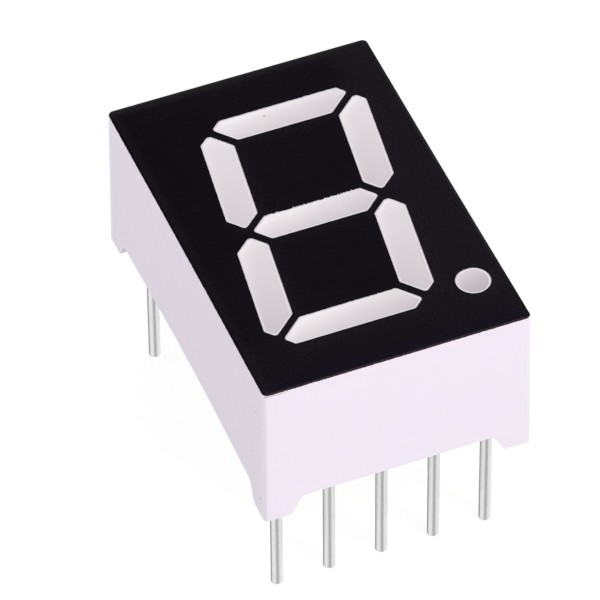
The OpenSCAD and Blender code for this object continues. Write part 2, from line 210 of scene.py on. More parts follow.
class Tree:
    """Builds one node tree. An input is given as a plain value or as another node's output."""

    def __init__(self, tree):
        self.tree = tree

    def clear(self):
        self.tree.nodes.clear()

    def link(self, source, socket):
        self.tree.links.new(source, socket)

    def add(self, kind, values=None, **settings):
        node = self.tree.nodes.new(kind)
        for name, value in settings.items():
            setattr(node, name, value)
        self.fill(node, values or {})
        return node

    def fill(self, node, values):
        for key, value in values.items():
            if isinstance(value, bpy.types.NodeSocket):
                self.link(value, node.inputs[key])
            else:
                node.inputs[key].default_value = value

    def math(self, operation, *values):
        return self.add("ShaderNodeMath", dict(enumerate(values)), operation=operation).outputs[0]

    def times(self, first, second):
        return self.math("MULTIPLY", first, second)

    def rest(self, share):
        """What a share leaves of 1."""
        return self.math("SUBTRACT", 1.0, share)

    def vector_math(self, operation, values):
        return self.add("ShaderNodeVectorMath", values, operation=operation).outputs[0]

    def between(self, factor, low, high):
        """low where the factor is 0 and high where it is 1."""
        return self.add(
            "ShaderNodeMapRange", {"Value": factor, "To Min": low, "To Max": high}
        ).outputs["Result"]

    def step(self, value, low, high):
        """0 at low and 1 at high, with a smooth run between."""
        return self.add(
            "ShaderNodeMapRange", {"Value": value, "From Min": low, "From Max": high},
            interpolation_type="SMOOTHSTEP",
        ).outputs["Result"]

    def mix(self, factor, first, second, way="MIX"):
        return self.add(
            "ShaderNodeMix", {"Factor": factor, "A": first, "B": second}, data_type="RGBA",
            blend_type=way,
        ).outputs["Result"]

    def mix_shader(self, factor, first, second):
        return self.add("ShaderNodeMixShader", {0: factor, 1: first, 2: second}).outputs[0]

    def noise(self, values):
        return self.add("ShaderNodeTexNoise", values).outputs["Fac"]

    def place(self):
        return self.add("ShaderNodeTexCoord").outputs["Object"]

    def parts(self, vector):
        return self.add("ShaderNodeSeparateXYZ", {"Vector": vector}).outputs

    def attribute(self, name):
        return self.add("ShaderNodeAttribute", attribute_name=name).outputs["Fac"]

    def effect(self, group, **values):
        """One of the shared effects, with this material's own values."""
        node = self.add("ShaderNodeGroup", node_tree=group, label=group.name)
        self.fill(node, {name.replace("_", " "): value for name, value in values.items()})
        return node.outputs

    def output(self, shader):
        self.link(shader, self.add("ShaderNodeOutputMaterial").inputs["Surface"])


def new_material(name):
    material = bpy.data.materials.new(name)
    material.use_nodes = True
    tree = Tree(material.node_tree)
    tree.clear()
    return material, tree


def new_group(name, inputs, outputs):
    """An empty shared effect. Each socket is (name, kind, default)."""
    group = bpy.data.node_groups.new(name, "ShaderNodeTree")
    for label, kind, default in inputs:
        socket = group.interface.new_socket(label, in_out="INPUT", socket_type="NodeSocket" + kind)
        if default is not None:
            socket.default_value = default
    for label, kind in outputs:
        group.interface.new_socket(label, in_out="OUTPUT", socket_type="NodeSocket" + kind)
    tree = Tree(group)
    given = tree.add("NodeGroupInput").outputs
    result = tree.add("NodeGroupOutput").inputs
    return group, tree, given, result


def per_mm(tree, size):
    """A texture scale, from a size in millimetres."""
    return tree.math("DIVIDE", 1000.0, size)


def cloudy_tone():
    """Two colours drifting into each other, as pigment does in a moulding."""
    group, tree, given, result = new_group(
        "cloudy tone",
        [("Vector", "Vector", None), ("Size mm", "Float", 1.0), ("Strength", "Float", 0.5),
         ("Base", "Color", (0.8, 0.8, 0.8, 1)), ("Tint", "Color", (0.7, 0.7, 0.7, 1))],
        [("Colour", "Color")],
    )
    cloud = tree.noise({
        "Vector": given["Vector"], "Scale": per_mm(tree, given["Size mm"]), "Detail": 3.0,
        "Roughness": 0.55,
    })
    share = tree.times(tree.step(cloud, 0.35, 0.65), given["Strength"])
    tree.link(tree.mix(share, given["Base"], given["Tint"]), result["Colour"])
    return group


def fine_grain():
    """The close texture of a surface, as a height and as a tone about 0.5."""
    group, tree, given, result = new_group(
        "fine grain",
        [("Vector", "Vector", None), ("Size mm", "Float", 0.05), ("Detail", "Float", 3.0)],
        [("Height", "Float"), ("Tone", "Float")],
    )
    scale = per_mm(tree, given["Size mm"])
    fine = tree.noise({
        "Vector": given["Vector"], "Scale": scale, "Detail": given["Detail"], "Roughness": 0.6,
    })
    broad = tree.noise({
        "Vector": given["Vector"], "Scale": tree.times(scale, 0.11), "Detail": 2.0,
    })
    tree.link(fine, result["Height"])
    tree.link(tree.math("ADD", tree.times(fine, 0.5), tree.times(broad, 0.5)), result["Tone"])
    return group


def fine_streaks():
    """Long thin marks. Stretch gives the pattern's reach along each axis."""
    group, tree, given, result = new_group(
        "fine streaks",
        [("Vector", "Vector", None), ("Size mm", "Float", 0.1),
         ("Stretch", "Vector", (1.0, 1.0, 1.0))],
        [("Tone", "Float")],
    )
    drawn = tree.vector_math("DIVIDE", {0: given["Vector"], 1: given["Stretch"]})
    tone = tree.noise({
        "Vector": drawn, "Scale": per_mm(tree, given["Size mm"]), "Detail": 4.0, "Roughness": 0.6,
    })
    tree.link(tone, result["Tone"])
    return group


def stray_specks():
    """Small scattered spots: one in each cell at most, and only in a share of the cells."""
    group, tree, given, result = new_group(
        "stray specks",
        [("Vector", "Vector", None), ("Spacing mm", "Float", 1.0), ("Radius", "Float", 0.05),
         ("Share", "Float", 0.3)],
        [("Mask", "Float")],
    )
    cells = tree.add("ShaderNodeTexVoronoi", {
        "Vector": given["Vector"], "Scale": per_mm(tree, given["Spacing mm"]), "Randomness": 1.0,
    }, feature="F1")
    chance = tree.add("ShaderNodeSeparateColor", {"Color": cells.outputs["Color"]}).outputs
    kept = tree.math("LESS_THAN", chance[0], given["Share"])
    reach = tree.times(given["Radius"], tree.between(chance[1], 0.4, 1.0))
    away = tree.math("DIVIDE", cells.outputs["Distance"], reach)
    tree.link(tree.times(tree.rest(tree.step(away, 0.6, 1.0)), kept), result["Mask"])
    return group


def upright_corner_mask():
    """1 on the upright corners of a box-shaped moulding, fading over Reach."""
    rounded = 0.04  # how far in from the box's corners the moulding's lie, in millimetres
    group, tree, given, result = new_group(
        "upright corner mask",
        [("Vector", "Vector", None),
         ("Half width mm", "Float", cad_box[1].x / MM - rounded),
         ("Half height mm", "Float", cad_box[1].y / MM - rounded),
         ("Reach mm", "Float", 0.4)],
        [("Mask", "Float")],
    )
    parts = tree.parts(given["Vector"])
    squares = []
    for axis, half in (("X", "Half width mm"), ("Y", "Half height mm")):
        size = tree.times(tree.math("ABSOLUTE", parts[axis]), 1000.0)
        gap = tree.math("MAXIMUM", tree.math("SUBTRACT", given[half], size), 0.0)
        squares.append(tree.math("POWER", gap, 2.0))
    away = tree.math("POWER", tree.math("ADD", *squares), 0.5)
    tree.link(tree.rest(tree.step(away, 0.0, given["Reach mm"])), result["Mask"])
    return group


CLOUDY, GRAIN, STREAKS = cloudy_tone(), fine_grain(), fine_streaks()
SPECKS, CORNER_MASK = stray_specks(), upright_corner_mask()


# ---- Finishes ----

def bump(tree, height, strength, distance):
    return tree.add("ShaderNodeBump", {
        "Height": height, "Strength": strength, "Distance": distance
    }).outputs["Normal"]


def principled(tree, values):
    tree.output(tree.add("ShaderNodeBsdfPrincipled", values).outputs[0])


def ink_thread(tree, place):
    """Where the squeegee left a thread of ink, just below the low end's edge at its left."""
    parts = tree.parts(place)
    below = tree.math("ABSOLUTE", tree.math("SUBTRACT", parts["Z"], FACE_Z - 0.08 * MM))
    thread = tree.rest(tree.step(below, 0.006 * MM, 0.028 * MM))
    broken = tree.effect(STREAKS, Vector=place, Size_mm=0.25, Stretch=(3.0, 1.0, 1.0))["Tone"]
    thread = tree.times(thread, tree.step(broken, 0.50, 0.62))
    thread = tree.times(thread, tree.step(parts["Y"], -9.3 * MM, -9.45 * MM))
    return tree.times(thread, tree.step(parts["X"], -4.4 * MM, -5.0 * MM))


def moulded_white():
    """The housing's white polycarbonate: cool, faintly clouded, finely spark-eroded."""
    material, tree = new_material("moulded white")
    place = tree.place()
    tone = tree.effect(CLOUDY, Vector=place, Size_mm=1.1, Strength=0.6,
                       Base=(0.864, 0.796, 0.896, 1), Tint=(0.882, 0.796, 0.886, 1))["Colour"]
    # Painted highlight on the long walls near the upright corners, pinkish painted shade on them
    facing = tree.parts(tree.add("ShaderNodeNewGeometry").outputs["Normal"])
    long_wall = tree.step(tree.math("ABSOLUTE", facing["X"]), 0.85, 1.0)
    pale = tree.times(tree.effect(CORNER_MASK, Vector=place, Reach_mm=0.6)["Mask"], long_wall)
    tone = tree.mix(tree.times(pale, 0.8), tone, (0.945, 0.870, 0.965, 1))
    corner_shade = tree.effect(CORNER_MASK, Vector=place, Reach_mm=0.14)["Mask"]
    tone = tree.mix(tree.times(corner_shade, 0.7), tone, (0.80, 0.705, 0.775, 1))
    # The bare lips round the wells
    tone = tree.mix(tree.step(facing["Z"], 0.8, 0.95), tone, (0.80, 0.760, 0.790, 1))
    dark = tree.effect(SPECKS, Vector=place, Spacing_mm=0.6, Radius=0.16, Share=0.42)["Mask"]
    dark = tree.times(dark, long_wall)
    tone = tree.mix(tree.times(dark, 0.5), tone, (0.47, 0.40, 0.40, 1))
    tone = tree.mix(tree.times(ink_thread(tree, place), 0.75), tone, (0.10, 0.06, 0.08, 1))
    grain = tree.effect(GRAIN, Vector=place, Size_mm=0.05, Detail=3.0)
    principled(tree, {
        "Base Color": tone, "Roughness": tree.between(grain["Tone"], 0.42, 0.56),
        "Specular IOR Level": 0.35,
        "Normal": bump(tree, grain["Height"], 0.25, 0.004 * MM),
    })
    return material


def face_black():
    """Screen-printed black ink, with painted sheen to the reader's right and along its edges."""
    material, tree = new_material("printed black")
    place = tree.place()
    parts = tree.parts(place)
    slid = tree.times(parts["Y"], math.tan(SLANT))
    side = {"X": parts["X"], "Y": parts["Y"], "digit": tree.math("SUBTRACT", parts["X"], slid)}

    def towards(axis, start, end, share=1.0):
        """A smooth run along an axis in millimetres, up to share. "digit" is X, slanted."""
        return tree.times(tree.step(side[axis], start * MM, end * MM), share)

    # Painted sheen: darkest at the upper left, lighter to the right and the low end
    full = tree.math("MAXIMUM", towards("digit", -3.9, -2.6), towards("Y", 4.0, -4.0))
    tone = tree.mix(full, (0.0030, 0.0021, 0.0043, 1), (0.0040, 0.0030, 0.0056, 1))
    tone = tree.mix(towards("digit", 2.6, 4.0), tone, (0.0071, 0.0055, 0.0090, 1))
    tone = tree.mix(towards("Y", -6.0, -7.4, 0.8), tone, (0.0067, 0.0050, 0.0083, 1))
    tone = tree.mix(towards("Y", -8.7, -9.1, 0.5), tone, (0.0062, 0.0050, 0.0122, 1))
    # Thin past each window, and a painted sheen in a band inside the left, right and far edges
    past = tree.times(tree.attribute("thin"), 0.30)
    tone = tree.mix(past, tone, (0.0150, 0.0118, 0.0155, 1))
    left = tree.times(towards("X", -5.65, -6.1, 0.45), towards("X", -6.24, -6.14))
    sheen_band = tree.math("MAXIMUM", left, towards("X", 5.5, 6.0, 0.2))
    sheen_band = tree.math("MAXIMUM", sheen_band, towards("Y", 8.85, 9.35))
    tone = tree.mix(sheen_band, tone, (0.0116, 0.0091, 0.0126, 1))
    # Painted sheen on the right and far edges, brown painted highlight on its roll over the low one
    sheen_span = tree.math("MINIMUM", towards("Y", -8.5, -4.0), towards("Y", 10.5, 4.0))
    edge_sheen = tree.times(towards("X", 6.06, 6.32), sheen_span)
    edge_sheen = tree.math("MAXIMUM", edge_sheen, towards("Y", 9.3, 9.5))
    tone = tree.mix(edge_sheen, tone, (0.030, 0.024, 0.031, 1))
    tone = tree.mix(towards("Y", -9.38, -9.46), tone, (0.040, 0.026, 0.034, 1))
    # The squeegee's streaks, pits and a close grain
    drawn = tree.effect(STREAKS, Vector=place, Size_mm=0.12, Stretch=(12.0, 1.0, 1.0))["Tone"]
    streaks = tree.times(tree.step(drawn, 0.40, 0.75), 0.22)
    tone = tree.mix(streaks, tone, (0.0090, 0.0072, 0.0110, 1))
    pits = tree.effect(SPECKS, Vector=place, Spacing_mm=1.3, Radius=0.05, Share=0.7)["Mask"]
    tone = tree.mix(tree.times(pits, 0.8), tone, (0.0004, 0.0002, 0.0006, 1))
    close = tree.effect(GRAIN, Vector=place, Size_mm=0.1, Detail=2.0)["Height"]
    strength = tree.between(tree.step(close, 0.40, 0.60), 0.72, 1.28)
    tone = tree.vector_math("SCALE", {0: tone, "Scale": strength})
    grain = tree.effect(GRAIN, Vector=place, Size_mm=0.08, Detail=4.0)
    principled(tree, {
        "Base Color": tone, "Roughness": tree.between(grain["Tone"], 0.50, 0.68),
        "Specular IOR Level": 0.02,
        "Normal": bump(tree, grain["Height"], 0.15, 0.003 * MM),
    })
    return material


def milky_epoxy():
    """Diffused epoxy: greyer mid-well than at its white shore, with painted shade on each dish."""
    material, tree = new_material("milky epoxy")
    place = tree.place()
    # Mostly painted shade of the key light on each well's dish, and a little greyer where it is
    # deep
    shade = tree.math("ADD", tree.times(tree.attribute("depth"), 0.08),
                      tree.times(tree.attribute("painted_dish_shade"), 0.92))
    tone = tree.mix(tree.times(shade, 1 / GREYEST),
                    (0.860, 0.815, 0.838, 1), (0.260, 0.205, 0.232, 1))
    cloud = tree.effect(CLOUDY, Vector=place, Size_mm=0.9, Strength=0.35,
                        Base=(1.0, 1.0, 1.0, 1), Tint=(0.965, 0.945, 0.97, 1))["Colour"]
    tone = tree.mix(1.0, tone, cloud, "MULTIPLY")
    haze = tree.effect(SPECKS, Vector=place, Spacing_mm=0.5, Radius=0.06, Share=0.15)["Mask"]
    tone = tree.mix(tree.times(haze, 0.25), tone, (0.80, 0.78, 0.79, 1))
    grain = tree.effect(GRAIN, Vector=place, Size_mm=0.25, Detail=2.0)
    principled(tree, {
        "Base Color": tone, "Roughness": tree.between(grain["Tone"], 0.16, 0.30),
        "IOR": 1.52, "Specular IOR Level": 0.4,
        "Normal": bump(tree, grain["Height"], 0.2, 0.003 * MM),
    })
    return material


def bright_metal(name, base, tint, rough, streak_mm, stretch=(1.0, 1.0, 1.0)):
    """Plated or drawn metal: two tones of it, in marks that run the way it was made."""
    material, tree = new_material(name)
    place = tree.place()
    drawn = tree.effect(STREAKS, Vector=place, Size_mm=streak_mm, Stretch=stretch)["Tone"]
    tone = tree.mix(tree.step(drawn, 0.35, 0.65), base, tint)
    grain = tree.effect(GRAIN, Vector=place, Size_mm=0.05, Detail=3.0)
    principled(tree, {
        "Base Color": tone, "Metallic": 1.0,
        "Roughness": tree.between(grain["Tone"], *rough),
        "Normal": bump(tree, grain["Height"], 0.2, 0.002 * MM),
    })
    return material


def clear_potting():
    """The back's casting resin: clear, a little yellow, with a few trapped bubbles."""
    material, tree = new_material("clear potting")
    place = tree.place()
    tone = tree.effect(CLOUDY, Vector=place, Size_mm=2.5, Strength=0.6,
                       Base=(0.98, 0.96, 0.88, 1), Tint=(0.95, 0.92, 0.80, 1))["Colour"]
    grain = tree.effect(GRAIN, Vector=place, Size_mm=0.6, Detail=2.0)
    bubbles = tree.effect(SPECKS, Vector=place, Spacing_mm=1.4, Radius=0.07, Share=0.3)["Mask"]
    height = tree.math("ADD", grain["Height"], tree.times(bubbles, 2.0))
    principled(tree, {
        "Base Color": tone, "Roughness": tree.between(grain["Tone"], 0.05, 0.14),
        "Transmission Weight": 0.85, "IOR": 1.5,
        "Normal": bump(tree, height, 0.25, 0.01 * MM),
    })
    return material


def glass_laminate():
    """The board's glass-epoxy laminate: crossed yarns under a pale lacquer."""
    material, tree = new_material("glass laminate")
    place = tree.place()
    across = tree.effect(STREAKS, Vector=place, Size_mm=0.18, Stretch=(9.0, 1.0, 1.0))["Tone"]
    along = tree.effect(STREAKS, Vector=place, Size_mm=0.18, Stretch=(1.0, 9.0, 1.0))["Tone"]
    weave = tree.times(tree.math("ADD", across, along), 0.5)
    tone = tree.mix(tree.step(weave, 0.40, 0.60), (0.73, 0.69, 0.49, 1), (0.85, 0.82, 0.65, 1))
    principled(tree, {
        "Base Color": tone, "Roughness": tree.between(weave, 0.28, 0.48),
        "Normal": bump(tree, weave, 0.35, 0.01 * MM),
    })
    return material


def die_stone():
    """An LED die: dark compound semiconductor, sawn on its sides."""
    material, tree = new_material("die")
    place = tree.place()
    sawn = tree.effect(STREAKS, Vector=place, Size_mm=0.02, Stretch=(1.0, 1.0, 8.0))["Tone"]
    tone = tree.mix(tree.step(sawn, 0.35, 0.65), (0.10, 0.07, 0.08, 1), (0.17, 0.13, 0.13, 1))
    principled(tree, {"Base Color": tone, "Roughness": tree.between(sawn, 0.22, 0.45)})
    return material


def dust_brown():
    """A grain of dust caught in the resin."""
    material, tree = new_material("caught dust")
    grain = tree.effect(GRAIN, Vector=tree.place(), Size_mm=0.02, Detail=2.0)
    tone = tree.mix(grain["Tone"], (0.34, 0.32, 0.31, 1), (0.46, 0.43, 0.43, 1))
    principled(tree, {"Base Color": tone, "Roughness": 0.7})
    return material


# ---- Mesh helpers ----

def finish_mesh(name, build, material, stands_for, sharp=35):
    """Makes a build (a bmesh) one of the object's pieces, in place of its CAD nodes."""
    mesh = bpy.data.meshes.new(name)
    build.to_mesh(mesh)
    build.free()
    finish_piece(name, mesh, material, stands_for, sharp)


def finish_piece(name, mesh, material, stands_for, sharp):
    mesh.name = name
    mesh.shade_smooth()
    mesh.set_sharp_from_angle(angle=math.radians(sharp))
    mesh.materials.clear()
    mesh.materials.append(material)
    obj = add_object(name, mesh)
    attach(obj, "root")
    if stands_for:
        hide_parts(*stands_for)


def merged_copy(node):
    """A CAD node's surface with its corners joined, ready to work on."""
    build = bmesh.new()
    build.from_mesh(cad[node].data)
    bmesh.ops.remove_doubles(build, verts=build.verts, dist=WELD)
    bmesh.ops.dissolve_degenerate(build, edges=build.edges, dist=WELD)
    return build


def loops_at(build, z):
    """Every closed outline of a shape's flat faces at height z, outermost first, and the faces."""
    flat = [f for f in build.faces if all(abs(v.co.z - z) < WELD for v in f.verts)]
    inside = set(flat)
    # A dictionary keeps its order, so that each run starts every outline at the same point
    rim = dict.fromkeys(
        e for f in flat for e in f.edges if sum(g in inside for g in e.link_faces) == 1)
    loops = []
    while rim:
        edge, _ = rim.popitem()
        start, here = edge.verts
        loop = [start, here]
        while here is not start:
            edge = next(e for e in here.link_edges if e in rim)
            del rim[edge]
            here = edge.other_vert(here)
            loop.append(here)
        loops.append([v.co.copy() for v in loop[:-1]])
    for loop in loops:
        if signed_area(loop) < 0:
            loop.reverse()
    return sorted(loops, key=signed_area, reverse=True), flat


def pairs(loop):
    """Each point of a closed outline with the next."""
    return zip(loop, loop[1:] + loop[:1])


def signed_area(loop):
    return sum(p.x * q.y - q.x * p.y for p, q in pairs(loop)) / 2


def divided(loop, step):
    """The outline with no stretch longer than step."""
    out = []
    for p, q in pairs(loop):
        count = max(1, math.ceil((q - p).length / step))
        out += [p.lerp(q, k / count) for k in range(count)]
    return out


def outward(loop):
    """The unit vector out of a closed outline at each of its points."""
    out = []
    for i, p in enumerate(loop):
        along = loop[(i + 1) % len(loop)] - loop[i - 1]
        out.append(Vector((along.y, -along.x, 0)).normalized())
    return out


def circle(x, y, radius, count):
    turns = [math.tau * k / count for k in range(count)]
    return [Vector((x + radius * math.cos(t), y + radius * math.sin(t), 0)) for t in turns]


def bridge(build, low, high):
    """Faces between two rings of equal length; they point away from a solid that low is under."""
    for (a, b), (d, c) in zip(pairs(low), pairs(high)):
        build.faces.new((a, b, c, d))


def ring(build, points):
    return [build.verts.new(p) for p in points]


def flat_sketch(loops):
    """Closed outlines as a triangulation takes them: 2-D points, edges, each one's first point."""
    points, edges, starts = [], [], []
    for loop in loops:
        start = len(points)
        starts.append(start)
        points += [p.to_2d() for p in loop]
        edges += [(start + i, start + (i + 1) % len(loop)) for i in range(len(loop))]
    return points, edges, starts


def middle_of(face, verts):
    return sum((verts[i] for i in face), Vector((0, 0))) / len(face)


def insides(loop):
    """A test of whether a closed outline goes round a point."""
    corners = [(p.x, p.y) for p in loop]
    (left, right), (low, high) = [(min(side), max(side)) for side in zip(*corners)]

    def test(x, y):
        inside = False
        if left < x < right and low < y < high:
            for (px, py), (qx, qy) in pairs(corners):
                if (py > y) != (qy > y) and x < px + (y - py) * (qx - px) / (qy - py):
                    inside = not inside
        return inside

    return test


def search_tree(loop):
    """Finds the point of an outline that is nearest to a place."""
    tree = KDTree(len(loop))
    for i, p in enumerate(loop):
        tree.insert((p.x, p.y, 0), i)
    tree.balance()
    return tree


# ---- The face's ink ----

def ragged(point, seed):
    """How far the squeegee left the ink from its true edge, as a share of the most."""
    at = point / RIPPLE + Vector((seed * 17.3, seed * 5.1, seed))
    return 0.55 * noise.noise(at) + 0.45 * noise.noise(at * 0.35)


def torn_edge(window, seed):
    """A window's edge as printed: a little ragged, and torn at its far side."""
    window = divided(window, TORN_STEP)
    moved = []
    for p, out in zip(window, outward(window)):
        # Edges that lie across the squeegee's way tear, and the middle bar's the most
        tear = max(0.0, out.y - 0.8) / 0.2 * (1.0 if abs(p.y) < 2 * MM else 0.45)
        bite = abs(noise.noise(p / BITE + Vector((seed, 7.1, 3.3)))) ** 1.5
        torn = 0.05 * ragged(p * 1.7, seed + 20) + 0.16 * bite - 0.055
        moved.append(p + out * (0.010 * ragged(p, seed) + tear * torn) * MM)
    return moved


def spread_ink(build, outline, windows):
    """The ink's flat top, closely divided round each window, where it is thin.

    Gives back the rings of corners round its outside and round each window.
    """
    points, edges, starts = flat_sketch([outline, *windows])
    ways = [outward(loop) for loop in windows]
    # Rows of points past each window, in millimetres from it
    for reach in (0.1, 0.2, 0.32, 0.46, 0.62, 0.8):
        for loop, outs in zip(windows, ways):
            points += [(p + out * reach * MM).to_2d() for p, out in zip(loop[::3], outs[::3])]
    verts, _, faces, origins, *_ = delaunay_2d_cdt(points, edges, [], 1, 1e-9)

    trees, tests = [search_tree(loop) for loop in windows], [insides(loop) for loop in windows]
    thin = build.verts.layers.float.new("thin")
    made = []
    for p in verts:
        vert = build.verts.new((p.x, p.y, INK_TOP))
        for tree, outs in zip(trees, ways):
            _, i, away = tree.find((p.x, p.y, 0))
            # Thinnest past the lower right of a window, where the squeegee left it
            side = 0.62 + 0.38 * (outs[i].x - outs[i].y)
            vert[thin] = max(vert[thin], side * math.exp(-(away / THIN_REACH) ** 2))
        made.append(vert)
    for face in faces:
        middle = middle_of(face, verts)
        if not any(test(*middle) for test in tests):
            build.faces.new([made[i] for i in face])
    for vert in [v for v in made if not v.link_faces]:
        build.verts.remove(vert)
    where = {i: vert for vert, inputs in zip(made, origins) for i in inputs if vert.is_valid}
    cover, *holes = [
        [where[start + i] for i in range(len(loop))]
        for start, loop in zip(starts, (outline, *windows))
    ]
    return cover, holes


def roll_over(build, cover, outline):
    """Carries the ink's outer ring over the moulding's rounded edge, where it thins out."""
    ways = outward(outline)
    skin = INK_TOP - FACE_Z
    # The squeegee carried it farther over the far end and the right than over the other sides
    ends = [
        (0.62 if w.y < -0.5 else 0.78 if w.x < -0.5 else 0.95) + 0.35 * ragged(p * 1.6, 40)
        for p, w in zip(outline, ways)
    ]
    last = cover
    # Each ring's share of the turn, and the share of the ink's thickness that is left there
    for share, left in ((0.4, 0.8), (0.75, 0.45), (1.0, 0.12), (1.0, -0.1)):
        reach = EDGE_R + skin * left
        points = []
        for p, w, end in zip(outline, ways, ends):
            turn = math.radians(90) * share * min(1.0, end)
            points.append(Vector((p.x, p.y, FACE_Z - EDGE_R)) + w * reach * math.sin(turn)
                          + Vector((0, 0, reach * math.cos(turn))))
        now = ring(build, points)
        bridge(build, now, last)
        last = now
    return last


def print_face():
    """The printed ink: ragged where the squeegee left an edge, and run over the moulding's edge."""
    source = merged_copy("face_ink")
    loops, _ = loops_at(source, INK_TOP)
    source.free()
    outline = divided(loops[0], OUTLINE_STEP)
    build = bmesh.new()
    cover, holes = spread_ink(
        build, outline, [torn_edge(window, seed) for seed, window in enumerate(loops[1:])])

    # Each window's edge goes down to the moulded face
    lows = [ring(build, [Vector((v.co.x, v.co.y, FACE_Z)) for v in loop]) for loop in holes]
    for hole, low in zip(holes, lows):
        bridge(build, hole, low)
    last = roll_over(build, cover, outline)
    under = ring(build, [Vector((p.x, p.y, FACE_Z)) for p in outline])
    bridge(build, under, last)
    rims = [build.edges.get(pair) for loop in (under, *lows) for pair in pairs(loop)]
    bmesh.ops.triangle_fill(build, use_beauty=True, edges=rims, normal=(0, 0, -1))
    bmesh.ops.recalc_face_normals(build, faces=build.faces)
    finish_mesh("face_print", build, FINISH["ink"], ["face_ink"], sharp=50)


# ---- The epoxy in the wells ----

def spine_of(outline):
    """The line that a segment's dish is deepest along: its two farthest points, drawn in."""
    a, b = max(
        ((p, q) for p in outline for q in outline), key=lambda pair: (pair[0] - pair[1]).length)
    middle, along = (a + b) / 2, b - a
    side = Vector((-along.y, along.x, 0)).normalized()
    half_width = max(abs((p - middle).dot(side)) for p in outline)
    half = max(0.0, along.length / 2 - half_width)
    way = along.normalized()
    return middle - way * half, middle + way * half


def painted_dish_shading(name, outline):
    """A function that gives the painted shade of one well's resin at a point."""
    ways = [p.x - p.y for p in outline]
    least, most = min(ways), max(ways)
    across, lean, start = Vector((0, 1, 0)), BAR_LEAN, 0.0
    if name in UPRIGHTS:
        across, lean = Vector((math.cos(SLANT), -math.sin(SLANT), 0)), UPRIGHT_LEAN
    if name == "dp":
        lean, start = POINT_LEAN, POINT_SHADE
    sides = [p.dot(across) for p in outline]
    centre, half_width = (max(sides) + min(sides)) / 2, (max(sides) - min(sides)) / 2

    def shade(at):
        along = (at.x - at.y - least) / (most - least)
        shade_gain = (1 - math.exp(-DISH_SHADE_RATE * along)) * DISH_SHADE_GAIN[name]
        return start + shade_gain - lean * (at.dot(across) - centre) / half_width

    return shade


def cast_segment(name):
    """Milky epoxy that wets its well's wall and sinks a little in the middle."""
    node = f"segment_{name}"
    build = merged_copy(node)
    loops, flat = loops_at(build, EPOXY_Z)
    outline = loops[0]
    bmesh.ops.delete(build, geom=flat, context="FACES")
    depth = build.verts.layers.float.new("depth")
    painted_dish_shade = build.verts.layers.float.new("painted_dish_shade")
    # The wall's own corners, in the outline's order
    shore = [min(build.verts, key=lambda v: (v.co - p).length_squared) for p in outline]
    rim_z = FACE_Z - RIM_REACH
    for vert in shore:
        vert.co.z = rim_z

    # Each corner's foot on the spine, which the dish sinks towards
    start, end = spine_of(outline)
    way = end - start
    feet = []
    for p in outline:
        share = (p - start).dot(way) / max(way.length_squared, 1e-12)
        feet.append(start + way * min(1.0, max(0.0, share)))
    shade = painted_dish_shading(name, outline)
    # Rings of corners, closer together at the shore, where the surface is steepest
    last = shore
    for share in (0.02, 0.05, 0.09, 0.15, 0.23, 0.33, 0.45, 0.6, 0.75, 0.88):
        points = []
        for p, foot in zip(outline, feet):
            away = (foot - p).length * share
            sink = DISH_DEPTH * (1 - math.exp(-away / MENISCUS))
            points.append(Vector((*p.lerp(foot, share).xy, rim_z - sink)))
        now = ring(build, points)
        for v, p in zip(now, outline):
            v[depth] = 1 - math.exp(-(v.co.xy - p.xy).length / DEEP_REACH)
            # The painted shade of the key light on the dish, which the material reads
            v[painted_dish_shade] = shade(v.co)
        bridge(build, last, now)
        last = now
    build.faces.new(last)
    bmesh.ops.recalc_face_normals(build, faces=build.faces)
    finish_mesh(f"epoxy_{name}", build, FINISH["epoxy"], [node], sharp=40)


def caught_speck():
    """One grain of dust in the resin of the upper segment."""
    radius = 0.045 * MM
    build = bmesh.new()
    bmesh.ops.create_icosphere(build, subdivisions=3, radius=radius)
    for v in build.verts:
        v.co *= 1 + 0.25 * noise.noise(v.co / (0.03 * MM))
        v.co.z *= 0.3
        v.co += Vector((0.19 * MM, 6.655 * MM, EPOXY_Z - radius))
    finish_mesh("dust_speck", build, dust_brown(), [])


# ---- The pins ----

def draw_pin(tree, given):
    """One pin: a ring of facets drawn out along its length, closer together at the round tip."""
    rod = tree.add("GeometryNodeMeshCylinder", {
        "Vertices": 40, "Side Segments": 32, "Radius": given["Radius"], "Depth": 1.0,
    }, fill_type="TRIANGLE_FAN").outputs["Mesh"]
    place = tree.parts(tree.add("GeometryNodeInputPosition").outputs[0])
    share = tree.math("ADD", place["Z"], 0.5)
    length = tree.math("SUBTRACT", given["High end"], given["Low end"])
    height = tree.times(tree.math("POWER", share, 2.2), length)
    inside = tree.math(
        "MAXIMUM", tree.rest(tree.math("DIVIDE", height, given["Tip radius"])), 0.0)
    arc = tree.math("SQRT", tree.rest(tree.math("POWER", inside, 2.0)))
    drop = tree.times(tree.rest(arc), given["Tip radius"])
    narrow = tree.rest(tree.math("DIVIDE", drop, given["Radius"]))
    shaped = tree.add("ShaderNodeCombineXYZ", {
        "X": tree.times(place["X"], narrow),
        "Y": tree.times(place["Y"], narrow),
        "Z": tree.math("ADD", height, given["Low end"]),
    }).outputs[0]
    return tree.add("GeometryNodeSetPosition", {"Geometry": rod, "Position": shaped}).outputs[0]


def set_in_rows(tree, given, pin):
    """A pin at each place of the two rows, each with a turn of its own."""
    grid = tree.add("GeometryNodeMeshGrid", {
        "Size X": tree.times(given["Pitch"], tree.math("SUBTRACT", given["Pins a row"], 1)),
        "Size Y": given["Row gap"], "Vertices X": given["Pins a row"], "Vertices Y": 2,
    }).outputs["Mesh"]
    turn = tree.add("FunctionNodeRandomValue", {
        "Min": (0.0, 0.0, 0.0), "Max": (0.0, 0.0, 6.28), "Seed": given["Seed"],
    }, data_type="FLOAT_VECTOR").outputs["Value"]
    turned = tree.add("FunctionNodeEulerToRotation", {"Euler": turn}).outputs[0]
    placed = tree.add("GeometryNodeInstanceOnPoints", {
        "Points": grid, "Instance": pin, "Rotation": turned}).outputs[0]
    return tree.add("GeometryNodeRealizeInstances", {"Geometry": placed}).outputs[0]


